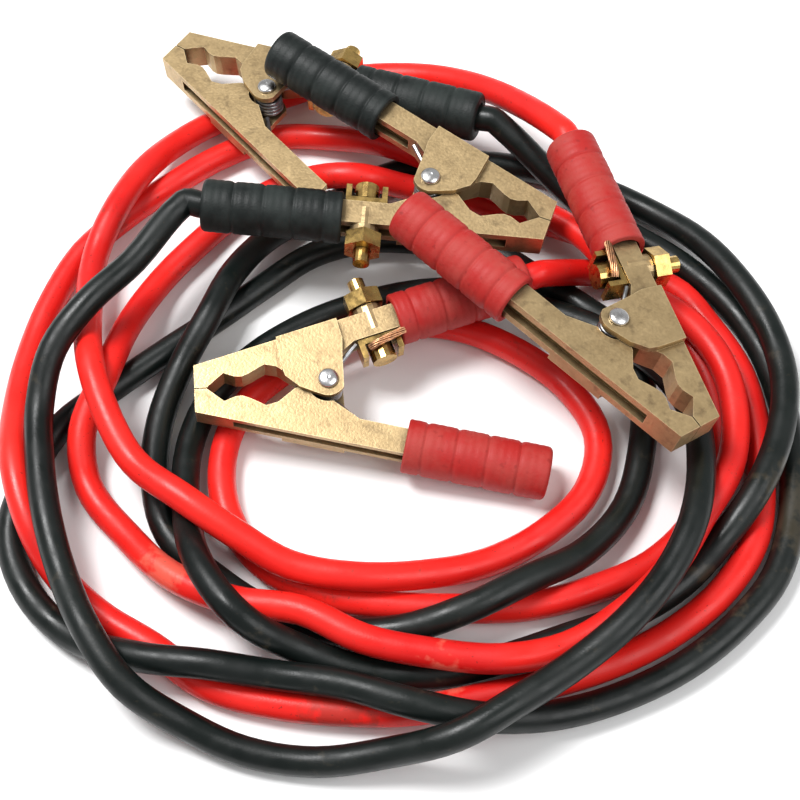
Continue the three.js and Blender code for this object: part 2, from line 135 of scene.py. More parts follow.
# Stage: half the floor's side and its height in metres, lamp powers in watts
FLOOR_REACH = 6
FLOOR_Z = -0.0002
FLOOR_COLOUR = (0.86, 0.86, 0.86)
WORLD_STRENGTH = 0.42
LAMPS = {
    "key": {"place": (-0.55, 0.15, 1.25), "power": 24, "size": 0.5},
    "fill": {"place": (0.8, -0.5, 1.0), "power": 9, "size": 0.9},
}

# Angles over which an edge is drawn sharp
PLAIN_SHARP_ANGLE = math.radians(35)
SLEEVE_SHARP_ANGLE = math.radians(50)
WIRE_SHARP_ANGLE = math.radians(60)
STRAND_SHARP_ANGLE = math.radians(38) * 1.6

# Routes of the leads, the same points as the CAD tubes follow. They were traced on the photograph, and a
# program then settled them so that no turns overlap.
RED_ROUTE = [
    (0.0733, 0.0189, 0.0461), (0.0679, 0.0361, 0.0465), (0.0654, 0.0437, 0.0467), (0.0428, 0.077, 0.0308),
    (0.0191, 0.0997, 0.0174), (-0.0083, 0.1111, 0.0084), (-0.0352, 0.1095, 0.0068),
    (-0.0606, 0.0998, 0.0068), (-0.0852, 0.0881, 0.0068), (-0.1078, 0.0715, 0.0086),
    (-0.1237, 0.0457, 0.0172), (-0.1349, 0.0195, 0.0196), (-0.1419, -0.0044, 0.0163),
    (-0.1406, -0.0345, 0.0204), (-0.1351, -0.0649, 0.0314), (-0.1257, -0.0907, 0.0309),
    (-0.1129, -0.1118, 0.0284), (-0.0924, -0.1287, 0.0315), (-0.0714, -0.1422, 0.0271),
    (-0.0499, -0.1526, 0.02), (-0.0244, -0.1568, 0.0182), (0.0022, -0.1539, 0.0131),
    (0.0286, -0.1459, 0.007), (0.0526, -0.1327, 0.0068), (0.0709, -0.1134, 0.0068),
    (0.0765, -0.0882, 0.0068), (0.0653, -0.0647, 0.0068), (0.0451, -0.0467, 0.0068),
    (0.0208, -0.0348, 0.0068), (-0.0057, -0.0323, 0.0068), (-0.0313, -0.0406, 0.0068),
    (-0.0545, -0.0548, 0.0068), (-0.0729, -0.074, 0.0068), (-0.0804, -0.0994, 0.0068),
    (-0.0763, -0.1257, 0.0068), (-0.0609, -0.1471, 0.0068), (-0.0371, -0.1596, 0.0068),
    (-0.0104, -0.1643, 0.0068), (0.0167, -0.1657, 0.0068), (0.0438, -0.1647, 0.0068),
    (0.0703, -0.1577, 0.0068), (0.0947, -0.1464, 0.0068), (0.1137, -0.1277, 0.0068),
    (0.1259, -0.1038, 0.0068), (0.1285, -0.0771, 0.0068), (0.123, -0.0507, 0.0068),
    (0.1096, -0.0289, 0.0087), (0.0969, -0.0083, 0.0217), (0.0753, 0.0126, 0.0124), (0.0499, 0.027, 0.0068),
    (0.0247, 0.037, 0.0068), (-0.0016, 0.0393, 0.0118), (-0.0291, 0.0391, 0.0213), (-0.0561, 0.043, 0.0101),
    (-0.0789, 0.0316, 0.0068), (-0.0973, 0.0119, 0.0068), (-0.1138, -0.0102, 0.0068),
    (-0.125, -0.0379, 0.0127), (-0.1307, -0.0675, 0.0203), (-0.1385, -0.0902, 0.0146),
    (-0.135, -0.1118, 0.0068), (-0.1183, -0.133, 0.0071), (-0.0975, -0.1538, 0.0129),
    (-0.0717, -0.1666, 0.0177), (-0.0445, -0.1716, 0.0198), (-0.0204, -0.1834, 0.0202),
    (0.0056, -0.1888, 0.0195), (0.0321, -0.1909, 0.0188), (0.0578, -0.1855, 0.0176),
    (0.0801, -0.1723, 0.0195), (0.0992, -0.1538, 0.0186), (0.1136, -0.1318, 0.0189),
    (0.1276, -0.1093, 0.0188), (0.1327, -0.0833, 0.0186), (0.1289, -0.0574, 0.0188),
    (0.1146, -0.0365, 0.0203), (0.0924, -0.0237, 0.0243), (0.0766, -0.0001, 0.0249),
    (0.0569, 0.0193, 0.0201), (0.0351, 0.0339, 0.0192), (0.0118, 0.0468, 0.0202), (-0.0129, 0.0599, 0.0177),
    (-0.0392, 0.0711, 0.0091), (-0.0662, 0.0729, 0.0068), (-0.0905, 0.0617, 0.0068),
    (-0.1122, 0.0453, 0.0068), (-0.1322, 0.0267, 0.0068), (-0.1497, 0.0062, 0.0068),
    (-0.1602, -0.0187, 0.0068), (-0.1666, -0.0454, 0.0068), (-0.1682, -0.0751, 0.0107),
    (-0.164, -0.1053, 0.0198), (-0.1559, -0.1304, 0.0172), (-0.1444, -0.15, 0.0093),
    (-0.1261, -0.1673, 0.0068), (-0.1031, -0.1815, 0.0068), (-0.081, -0.1972, 0.0068),
    (-0.055, -0.2046, 0.0068), (-0.0279, -0.2075, 0.0068), (-0.0007, -0.2071, 0.0068),
    (0.0259, -0.2021, 0.0068), (0.0523, -0.1962, 0.0068), (0.0779, -0.1875, 0.0068),
    (0.1014, -0.175, 0.0068), (0.1219, -0.1581, 0.0068), (0.1372, -0.1359, 0.0068),
    (0.1429, -0.1093, 0.0068), (0.1438, -0.0824, 0.0068), (0.1402, -0.0566, 0.0068),
    (0.1295, -0.0338, 0.0068), (0.1145, -0.0129, 0.0068), (0.0878, -0.0061, 0.0073),
    (0.0551, -0.0189, 0.0267), (0.0476, -0.0217, 0.0266), (0.0307, -0.0279, 0.0263),
]
BLACK_ROUTE = [
    (-0.0735, 0.0031, 0.0436), (-0.0914, 0.0042, 0.0449), (-0.0994, 0.0047, 0.0454),
    (-0.1191, -0.0224, 0.0412), (-0.1361, -0.0423, 0.0405), (-0.1495, -0.0626, 0.0358),
    (-0.1544, -0.0836, 0.0266), (-0.1517, -0.1091, 0.0259), (-0.1458, -0.1346, 0.0256),
    (-0.1374, -0.1581, 0.0233), (-0.1248, -0.1826, 0.0263), (-0.1093, -0.2025, 0.0224),
    (-0.0886, -0.2133, 0.0109), (-0.0648, -0.2231, 0.0068), (-0.0381, -0.2271, 0.0068),
    (-0.0113, -0.2256, 0.0135), (0.014, -0.2227, 0.025), (0.0373, -0.2102, 0.0276),
    (0.0593, -0.1958, 0.0271), (0.0789, -0.1806, 0.0307), (0.0958, -0.1613, 0.0319),
    (0.1079, -0.1385, 0.0325), (0.1147, -0.1099, 0.0264), (0.1142, -0.0821, 0.02),
    (0.1001, -0.0595, 0.0202), (0.0795, -0.0407, 0.0157), (0.0561, -0.025, 0.0082),
    (0.0314, -0.0154, 0.0068), (0.0043, -0.015, 0.0068), (-0.0222, -0.0213, 0.0068),
    (-0.0471, -0.0321, 0.0068), (-0.0692, -0.0479, 0.0068), (-0.0866, -0.0685, 0.0068),
    (-0.0946, -0.0947, 0.0078), (-0.0928, -0.1257, 0.0143), (-0.0847, -0.1544, 0.0273),
    (-0.0672, -0.1777, 0.0292), (-0.0459, -0.1851, 0.015), (-0.0207, -0.1912, 0.0068),
    (0.0056, -0.1928, 0.0068), (0.0319, -0.187, 0.0068), (0.0577, -0.1782, 0.0068),
    (0.0833, -0.1688, 0.0068), (0.1058, -0.1548, 0.0068), (0.1229, -0.1377, 0.012),
    (0.1374, -0.1196, 0.0192), (0.1492, -0.0958, 0.0193), (0.1549, -0.0701, 0.0193),
    (0.1523, -0.0441, 0.0191), (0.1426, -0.0186, 0.0186), (0.1288, 0.007, 0.0136), (0.1092, 0.0285, 0.0072),
    (0.0857, 0.0426, 0.0068), (0.0602, 0.0523, 0.0068), (0.0335, 0.0575, 0.0068), (0.0065, 0.0564, 0.0068),
    (-0.0186, 0.0474, 0.0068), (-0.0411, 0.0313, 0.0068), (-0.0637, 0.0153, 0.0087),
    (-0.0792, -0.0109, 0.0173), (-0.0894, -0.0373, 0.0195), (-0.1007, -0.0575, 0.0111),
    (-0.1079, -0.0809, 0.0068), (-0.1082, -0.108, 0.0068), (-0.1002, -0.1338, 0.0068),
    (-0.0809, -0.1521, 0.0068), (-0.0588, -0.1667, 0.0068), (-0.0331, -0.1744, 0.0068),
    (-0.0061, -0.1765, 0.0123), (0.0192, -0.1706, 0.0189), (0.0437, -0.1581, 0.0184),
    (0.0678, -0.1426, 0.0102), (0.0861, -0.121, 0.0068), (0.0945, -0.0954, 0.0068),
    (0.0975, -0.0684, 0.0068), (0.0937, -0.0413, 0.0068), (0.0764, -0.0247, 0.0068),
    (0.0537, -0.0067, 0.0068), (0.0337, 0.0073, 0.0068), (0.0069, 0.0121, 0.0068), (-0.0202, 0.013, 0.0068),
    (-0.0454, 0.0052, 0.0068), (-0.0667, -0.0116, 0.0068), (-0.0874, -0.0296, 0.0068),
    (-0.1086, -0.0467, 0.0068), (-0.1291, -0.0644, 0.0068), (-0.1492, -0.083, 0.0068),
    (-0.1604, -0.1077, 0.0068), (-0.1644, -0.1342, 0.0068), (-0.1539, -0.1594, 0.0068),
    (-0.1338, -0.1781, 0.0077), (-0.1071, -0.1892, 0.0167), (-0.0802, -0.1935, 0.0201),
    (-0.054, -0.1966, 0.0166), (-0.0275, -0.2008, 0.0179), (-0.0018, -0.2087, 0.0198),
    (0.025, -0.2125, 0.0151), (0.0523, -0.2097, 0.009), (0.079, -0.2016, 0.0068), (0.1037, -0.1895, 0.0068),
    (0.1257, -0.1726, 0.0068), (0.1438, -0.1517, 0.0068), (0.1537, -0.1255, 0.0068),
    (0.157, -0.0984, 0.0068), (0.1561, -0.071, 0.0068), (0.1499, -0.0436, 0.0068),
    (0.1365, -0.0183, 0.0068), (0.1175, 0.002, 0.0068), (0.0959, 0.0184, 0.0068), (0.0746, 0.0314, 0.0127),
    (0.0373, 0.0624, 0.031), (0.0298, 0.0651, 0.0306), (0.0129, 0.0711, 0.0297),
]

# Marks on the leads: place and radius
RED_MARKS = [
    ((-0.136, 0.017, 0.014), 0.010),
    ((-0.031, -0.211, 0.012), 0.016),
    ((0.038, -0.213, 0.014), 0.009),
]
RED_SCUFFS = [((-0.098, -0.153, 0.014), 0.014), ((0.009, -0.194, 0.014), 0.011)]
BLACK_MARKS = [
    ((0.151, -0.125, 0.012), 0.020),
    ((-0.154, -0.039, 0.012), 0.018),
    ((0.120, -0.160, 0.014), 0.012),
]


# Clamp geometry

def tang_centre(x):
    """Height of a tang's centre line over the clamp's middle at x, in mm."""
    return TIP_HEIGHT + (TIP_X - x) * math.tan(LEVER_ANGLE) - TANG_WIDTH / 2 / math.cos(LEVER_ANGLE)


def terminal_point(out, along=0, z=0):
    """A point measured from the tang's centre line at the terminal bolt, in mm."""
    sin, cos = math.sin(LEVER_ANGLE), math.cos(LEVER_ANGLE)
    return (TERMINAL_X + out * sin - along * cos, tang_centre(TERMINAL_X) + out * cos + along * sin, z)


def pivot_of(name):
    """The place of a clamp's rivet, from its hinge in the record."""
    for joint in frame["joints"]:
        if joint["name"] == f"{name}_hinge":
            return Vector(joint["pos_m"])
    raise KeyError(name)


def clamp_matrix(name, free_side=False):
    """From a clamp's own millimetres to the row frame, mirrored for its cable side and its ear."""
    clamp = CLAMPS[name]
    side = -clamp["side"] if free_side else clamp["side"]
    turn = Euler([math.radians(clamp[key]) for key in ("roll", "pitch", "turn")], "XYZ").to_matrix().to_4x4()
    scale = Matrix.Diagonal((MM, side * MM, clamp["ear"] * MM, 1))
    return Matrix.Translation(pivot_of(name)) @ turn @ scale


def add_object(name, data):
    """A new object that holds data, linked to the scene."""
    obj = bpy.data.objects.new(name, data)
    bpy.context.scene.collection.objects.link(obj)
    return obj


def add_mesh(name, build, material, sharp_angle=PLAIN_SHARP_ANGLE):
    """A new mesh object at the origin; build fills its bmesh."""
    bm = bmesh.new()
    build(bm)
    bmesh.ops.recalc_face_normals(bm, faces=bm.faces)
    data = bpy.data.meshes.new(name)
    bm.to_mesh(data)
    bm.free()
    data.materials.append(material)
    obj = add_object(name, data)
    shade_by_angle(obj, sharp_angle)
    return obj


def shade_by_angle(obj, angle):
    """Smooth shading with the edges over an angle kept sharp."""
    data = obj.data
    bm = bmesh.new()
    bm.from_mesh(data)
    sharp = [e.index for e in bm.edges if len(e.link_faces) == 2 and e.calc_face_angle(0) > angle]
    bm.free()
    data.polygons.foreach_set("use_smooth", [True] * len(data.polygons))
    for index in sharp:
        data.edges[index].use_edge_sharp = True


def lathe(bm, profile, matrix, segments):
    """Turns a closed profile of (radius, height) round the Z axis of a matrix."""
    rings = []
    for k in range(segments):
        angle = 2 * math.pi * k / segments
        rings.append([bm.verts.new(matrix @ Vector((r * math.cos(angle), r * math.sin(angle), h)))
                      for r, h in profile])
    count = len(profile)
    for k in range(segments):
        a, b = rings[k], rings[(k + 1) % segments]
        for i in range(count):
            j = (i + 1) % count
            bm.faces.new((a[i], a[j], b[j], b[i]))
    bmesh.ops.remove_doubles(bm, verts=bm.verts, dist=MERGE_DISTANCE)


def tube(bm, points, radius, sides=WIRE_SIDES):
    """A round wire along points, closed at both ends."""
    rings = []
    side = None
    for k, p in enumerate(points):
        ahead = points[min(k + 1, len(points) - 1)]
        behind = points[max(k - 1, 0)]
        along = (ahead - behind).normalized()
        side = along.orthogonal() if side is None else side - along * side.dot(along)
        side.normalize()
        other = along.cross(side)
        rings.append([bm.verts.new(p + (side * math.cos(t) + other * math.sin(t)) * radius)
                      for t in (2 * math.pi * i / sides for i in range(sides))])
    for a, b in zip(rings, rings[1:]):
        for i in range(sides):
            j = (i + 1) % sides
            bm.faces.new((a[i], a[j], b[j], b[i]))
    bm.faces.new(rings[0][::-1])
    bm.faces.new(rings[-1])


# Materials, with their colours in linear light

BRASS = (0.56, 0.41, 0.215)
BRASS_TARNISHED = (0.41, 0.292, 0.148)
BRASS_STAIN = (0.15, 0.10, 0.055)
# Painted shade for the corners and hollows of the cast levers
BRASS_RECESS_SHADE = (0.035, 0.026, 0.018)
BRASS_WORN = (0.80, 0.63, 0.36)
BOLT_BRASS = (0.66, 0.44, 0.15)
BOLT_BRASS_DULL = (0.30, 0.19, 0.07)
# Painted shade for the corners and hollows of the bolts and nuts
BOLT_RECESS_SHADE = (0.05, 0.035, 0.02)
RIVET_BRIGHT = (0.75, 0.75, 0.76)
RIVET_DULL = (0.42, 0.41, 0.40)
SPRING_BRIGHT = (0.38, 0.39, 0.41)
SPRING_DULL = (0.20, 0.19, 0.18)
COPPER_BRIGHT = (0.72, 0.38, 0.20)
COPPER_DULL = (0.30, 0.17, 0.10)
RED_RUBBER = (0.36, 0.016, 0.014)
RED_RUBBER_DUSTY = (0.36, 0.050, 0.040)
BLACK_RUBBER = (0.0035, 0.006, 0.0055)
BLACK_RUBBER_DUSTY = (0.016, 0.022, 0.020)
RED_PVC = (0.80, 0.019, 0.013)
RED_PVC_SHADE = (0.58, 0.009, 0.008)
RED_DIRT = (0.16, 0.03, 0.02)
RED_SCUFFED = (0.75, 0.20, 0.13)
BLACK_PVC = (0.0022, 0.0042, 0.0038)
BLACK_PVC_SHADE = (0.0055, 0.0085, 0.0075)
BLACK_DIRT = (0.06, 0.048, 0.03)
BLACK_SCUFFED = (0.2, 0.19, 0.16)


class Graph:
    """A node material that is built from the shader backwards."""

    def __init__(self, name, roughness, metallic=0.0):
        self.material = bpy.data.materials.new(name)
        self.material.use_nodes = True
        self.tree = self.material.node_tree
        self.shader = self.tree.nodes["Principled BSDF"]
        self.shader.inputs["Roughness"].default_value = roughness
        self.shader.inputs["Metallic"].default_value = metallic
        self.coords = self.tree.nodes.new("ShaderNodeTexCoord").outputs["Object"]

    def link(self, output, target):
        """Joins a node's output to another's input."""
        self.tree.links.new(output, target)

    def noise(self, scale, detail=4.0, roughness=0.55):
        """Noise on the piece's own coordinates, with scale per metre."""
        node = self.tree.nodes.new("ShaderNodeTexNoise")
        node.inputs["Scale"].default_value = scale
        node.inputs["Detail"].default_value = detail
        node.inputs["Roughness"].default_value = roughness
        self.link(self.coords, node.inputs["Vector"])
        return node.outputs["Fac"]

    def ramp(self, factor, low, high, start=0.0, end=1.0):
        """Maps factor from low..high to start..end, held at both ends."""
        node = self.tree.nodes.new("ShaderNodeMapRange")
        values = {"From Min": low, "From Max": high, "To Min": start, "To Max": end}
        for key, value in values.items():
            node.inputs[key].default_value = value
        self.link(factor, node.inputs["Value"])
        return node.outputs["Result"]

    def math(self, operation, a, b):
        """One operation on two values, each a number or an output."""
        node = self.tree.nodes.new("ShaderNodeMath")
        node.operation = operation
        for socket, value in zip(node.inputs, (a, b)):
            if isinstance(value, (int, float)):
                socket.default_value = value
            else:
                self.link(value, socket)
        return node.outputs[0]

    def mix(self, factor, a, b):
        """A blend of two colours, each a tuple or an output."""
        node = self.tree.nodes.new("ShaderNodeMix")
        node.data_type = "RGBA"
        self.link(factor, node.inputs["Factor"])
        for key, value in (("A", a), ("B", b)):
            socket = [s for s in node.inputs if s.name == key and s.type == "RGBA"][0]
            if isinstance(value, tuple):
                socket.default_value = (*value, 1)
            else:
                self.link(value, socket)
        return [s for s in node.outputs if s.type == "RGBA"][0]

    def spot(self, place, radius):
        """A ragged round mask about a place."""
        distance = self.tree.nodes.new("ShaderNodeVectorMath")
        distance.operation = "DISTANCE"
        self.link(self.coords, distance.inputs[0])
        distance.inputs[1].default_value = place
        wander = self.ramp(self.noise(160), 0.3, 0.7, -radius * 0.6, radius * 0.6)
        ragged = self.math("ADD", distance.outputs["Value"], wander)
        return self.ramp(ragged, radius * 0.5, radius, 1, 0)

    def edges(self, radius):
        """A mask of the strip within a radius of each sharp edge."""
        rounded = self.tree.nodes.new("ShaderNodeBevel")
        rounded.samples = 4
        rounded.inputs["Radius"].default_value = radius
        flat = self.tree.nodes.new("ShaderNodeNewGeometry")
        dot = self.tree.nodes.new("ShaderNodeVectorMath")
        dot.operation = "DOT_PRODUCT"
        self.link(rounded.outputs["Normal"], dot.inputs[0])
        self.link(flat.outputs["Normal"], dot.inputs[1])
        strip = self.ramp(dot.outputs["Value"], 0.86, 0.995, 1, 0)
        patches = self.ramp(self.noise(420, 5), 0.35, 0.6, 0.35, 1)
        return self.math("MULTIPLY", strip, patches)

    def recesses(self, distance):
        """A mask of corners and hollows, where painted shade darkens the colour."""
        node = self.tree.nodes.new("ShaderNodeAmbientOcclusion")
        node.samples = 4
        node.inputs["Distance"].default_value = distance
        return self.ramp(node.outputs["AO"], 0.35, 0.85, 0.8, 0)

    def bump(self, height, distance, strength=0.5):
        """Fine relief in the shading, distance in metres."""
        node = self.tree.nodes.new("ShaderNodeBump")
        node.inputs["Strength"].default_value = strength
        node.inputs["Distance"].default_value = distance
        self.link(height, node.inputs["Height"])
        self.link(node.outputs["Normal"], self.shader.inputs["Normal"])

    def finish(self, colour, roughness=None):
        """Sets the colour and, where given, the roughness, and hands back the material."""
        self.link(colour, self.shader.inputs["Base Color"])
        if roughness is not None:
            self.link(roughness, self.shader.inputs["Roughness"])
        return self.material


def cast_brass():
    """Tarnished sand-cast brass, lighter on its worn edges."""
    g = Graph("cast_brass", 0.4, 0.8)
    patina = g.ramp(g.noise(110, 8, 0.7), 0.32, 0.7)
    grain = g.noise(900, 3)
    base = g.mix(patina, BRASS, BRASS_TARNISHED)
    stained = g.mix(g.ramp(g.noise(190, 6), 0.55, 0.75, 0, 0.6), base, BRASS_STAIN)
    # Painted shade: corners and hollows found by ambient occlusion are darkened
    recess_shaded = g.mix(g.recesses(0.006), stained, BRASS_RECESS_SHADE)
    worn = g.mix(g.edges(0.0007), recess_shaded, BRASS_WORN)
    g.bump(grain, 0.0002, 0.55)
    return g.finish(worn, g.ramp(grain, 0.3, 0.7, 0.34, 0.52))


def machined_brass():
    """Turned brass of the terminal bolts and nuts, dull in patches."""
    g = Graph("machined_brass", 0.25, 1.0)
    colour = g.mix(g.ramp(g.noise(220), 0.45, 0.75), BOLT_BRASS, BOLT_BRASS_DULL)
    # Painted shade: the bolts' corners and hollows found by ambient occlusion are darkened
    colour = g.mix(g.recesses(0.004), colour, BOLT_RECESS_SHADE)
    g.bump(g.noise(1500, 2), 0.0001, 0.3)
    return g.finish(colour, g.ramp(g.noise(300), 0.3, 0.7, 0.18, 0.38))


def steel(name, bright, dull, roughness):
    """Bare steel with dull patches."""
    g = Graph(name, roughness, 1.0)
    colour = g.mix(g.ramp(g.noise(260), 0.4, 0.75), bright, dull)
    g.bump(g.noise(1200, 2), 0.0001, 0.25)
    return g.finish(colour, g.ramp(g.noise(400), 0.3, 0.7, roughness - 0.07, roughness + 0.12))


def copper():
    """Bare copper wire, partly oxidised."""
    g = Graph("bare_copper_strands", 0.35, 1.0)
    return g.finish(g.mix(g.ramp(g.noise(500), 0.35, 0.7), COPPER_BRIGHT, COPPER_DULL))


def sleeve_rubber(name, base, dusty):
    """Moulded rubber with dust in its pores."""
    g = Graph(name, 0.6)
    g.shader.inputs["Specular IOR Level"].default_value = 0.3
    dust = g.ramp(g.noise(60, 7, 0.65), 0.42, 0.72)
    fine = g.noise(1400, 3)
    colour = g.mix(dust, base, dusty)
    colour = g.mix(g.ramp(g.noise(320, 4), 0.62, 0.76, 0, 0.6), colour, tuple(0.45 * c for c in base))
    g.bump(fine, 0.00025, 0.5)
    return g.finish(colour, g.ramp(dust, 0, 1, 0.5, 0.75))


def lead_pvc(name, base, shade, dirt, marks, scuff_colour, scuffs):
    """Soft PVC jacket with handling dirt, dark marks and pale scuffs."""
    g = Graph(name, 0.38)
    g.shader.inputs["Specular IOR Level"].default_value = 0.32
    colour = g.mix(g.ramp(g.noise(18, 3), 0.35, 0.7), base, shade)
    colour = g.mix(g.ramp(g.noise(95, 8, 0.7), 0.6, 0.78, 0, 0.75), colour, dirt)
    colour = g.mix(g.ramp(g.noise(700, 2), 0.68, 0.74, 0, 0.6), colour, tuple(0.35 * c for c in dirt))
    for place, radius in marks:
        colour = g.mix(g.math("MULTIPLY", g.spot(place, radius), 0.5), colour, dirt)
    for place, radius in scuffs:
        colour = g.mix(g.math("MULTIPLY", g.spot(place, radius), 0.4), colour, scuff_colour)
    g.bump(g.math("ADD", g.noise(30, 2), g.math("MULTIPLY", g.noise(1100, 2), 0.25)), 0.0006, 0.35)
    return g.finish(colour, g.ramp(g.noise(80, 6), 0.35, 0.7, 0.28, 0.55))


MATERIALS = {
    "brass": cast_brass(),
    "bolt_brass": machined_brass(),
    "rivet_steel": steel("rivet_steel", RIVET_BRIGHT, RIVET_DULL, 0.24),
    "spring_steel": steel("spring_steel", SPRING_BRIGHT, SPRING_DULL, 0.34),
    "red_rubber": sleeve_rubber("red_sleeve_rubber", RED_RUBBER, RED_RUBBER_DUSTY),
    "black_rubber": sleeve_rubber("black_sleeve_rubber", BLACK_RUBBER, BLACK_RUBBER_DUSTY),
    "red_pvc": lead_pvc("red_lead_pvc", RED_PVC, RED_PVC_SHADE, RED_DIRT, RED_MARKS, RED_SCUFFED, RED_SCUFFS),
    "black_pvc": lead_pvc("black_lead_pvc", BLACK_PVC, BLACK_PVC_SHADE, BLACK_DIRT, BLACK_MARKS,
                          BLACK_SCUFFED, []),
}
COPPER = copper()


# Pieces

def dress_cad_nodes():
    """Every CAD node gets its slot's material."""
    slots = {part["node"]: part["material_slot"] for part in frame["record"]["subparts"]}
    for name, obj in frame["nodes"].items():
        obj.data.materials.clear()
        obj.data.materials.append(MATERIALS[slots[name]])


def sleeve_profile(kind):
    """Closed outline of a rubber sleeve along its axis: ringed outside, rounded end, bore inside."""
    length = (SLEEVE_START_X - SLEEVE_END_X) / math.cos(LEVER_ANGLE)
    end = length - SLEEVE_TRIM
    edge_length = SLEEVE_EDGE[-1][1]
    ringed_length = end - SLEEVE_END_ROUNDING - SLEEVE_TRIM - edge_length
    grooves = [SLEEVE_GROOVE_SPACING * (k + FIRST_GROOVE) for k in range(SLEEVE_GROOVES)]
    profile = [(SLEEVE_BORE_RADIUS, 0)]
    profile += [(SLEEVE_RADIUS - depth, h) for depth, h in SLEEVE_EDGE]
    for k in range(1, SLEEVE_STEPS):
        h = edge_length + ringed_length * k / SLEEVE_STEPS
        groove = sum(GROOVE_DEPTH * math.exp(-((h - middle) / GROOVE_WIDTH) ** 2) for middle in grooves)
        ripple = RIPPLE_DEPTH * math.sin(h * 2 * math.pi / RIPPLE_LENGTH)
        profile.append((SLEEVE_RADIUS - RIPPLE_DEPTH - groove + ripple, h))
    for k in range(SLEEVE_END_STEPS + 1):
        t = k / SLEEVE_END_STEPS * math.pi / 2
        in_by = SLEEVE_END_ROUNDING - (SLEEVE_END_ROUNDING - SLEEVE_TRIM) * math.cos(t)
        profile.append((SLEEVE_RADIUS - in_by, end - SLEEVE_END_ROUNDING * (1 - math.sin(t))))
    mouth = SLEEVE_MOUTH[kind]
    bore_end = length - SLEEVE_WALL[kind]
    profile += [(mouth["radius"] + mouth["flare"], end), (mouth["radius"], end - mouth["flare_depth"])]
    profile += [(mouth["radius"], bore_end), (SLEEVE_BORE_RADIUS, bore_end)]
    return profile


def make_sleeve(name, kind, body):
    """A clamp's rubber sleeve on its cable or its free tang."""
    axis = Vector((-math.cos(LEVER_ANGLE), math.sin(LEVER_ANGLE), 0))
    start = Vector((SLEEVE_START_X, tang_centre(SLEEVE_START_X), 0))
    local = Matrix.Translation(start) @ Vector((0, 0, 1)).rotation_difference(axis).to_matrix().to_4x4()
    matrix = clamp_matrix(name, kind == "free") @ local
    colour = "red_rubber" if name.startswith("red") else "black_rubber"
    sleeve = add_mesh(f"{name}_{kind}_grip", lambda bm: lathe(bm, sleeve_profile(kind), matrix, SLEEVE_SIDES),
                      MATERIALS[colour], SLEEVE_SHARP_ANGLE)
    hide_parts(f"{name}_{kind}_sleeve")
    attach(sleeve, body)


def make_spring(name):
    """The torsion spring's coil and its leg on the cable lever, one wire."""
    matrix = clamp_matrix(name)
    reach = SPRING_TURNS * COIL_PITCH / 2
    off_tang = (TANG_WIDTH / 2 + WIRE_RADIUS) / math.cos(LEVER_ANGLE) + SEAT_GAP
    steps = SPRING_TURNS * COIL_STEPS_PER_TURN
    points = []
    for k in range(steps + 1):
        angle = SPRING_LEG_ANGLE - 2 * math.pi * SPRING_TURNS * (1 - k / steps)
        points.append(Vector((SPRING_RADIUS * math.cos(angle), SPRING_RADIUS * math.sin(angle),
                              -reach + 2 * reach * k / steps)))
    points.append(Vector((SPRING_LEG_END_X, tang_centre(SPRING_LEG_END_X) - off_tang, reach)))
    path = [matrix @ point for point in points]
    spring = add_mesh(f"{name}_coil_spring", lambda bm: tube(bm, path, WIRE_RADIUS * MM * WIRE_SHARE),
                      MATERIALS["spring_steel"], WIRE_SHARP_ANGLE)
    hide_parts(f"{name}_spring")
    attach(spring, FIXED_BODY)


def make_rivet(name):
    """Rivet with two peened heads."""
    dome = []
    for k in range(RIVET_DOME_STEPS):
        t = k / RIVET_DOME_STEPS * math.pi / 2
        height = RIVET_HEAD_Z + RIVET_RIM_HEIGHT + RIVET_DOME_HEIGHT * math.sin(t)
        dome.append((RIVET_RADIUS * math.cos(t), height))
    dimple = [(radius, dome[-1][1] - depth) for radius, depth in RIVET_DIMPLE]
    top = [(RIVET_SHANK_RADIUS, RIVET_HEAD_Z), (RIVET_RADIUS, RIVET_HEAD_Z), *dome, *dimple]
    profile = [(radius, -height) for radius, height in reversed(top)] + top
    matrix = clamp_matrix(name)
    rivet = add_mesh(f"{name}_peened_rivet", lambda bm: lathe(bm, profile, matrix, RIVET_SIDES),
                     MATERIALS["rivet_steel"])
    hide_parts(f"{name}_rivet")
    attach(rivet, FIXED_BODY)


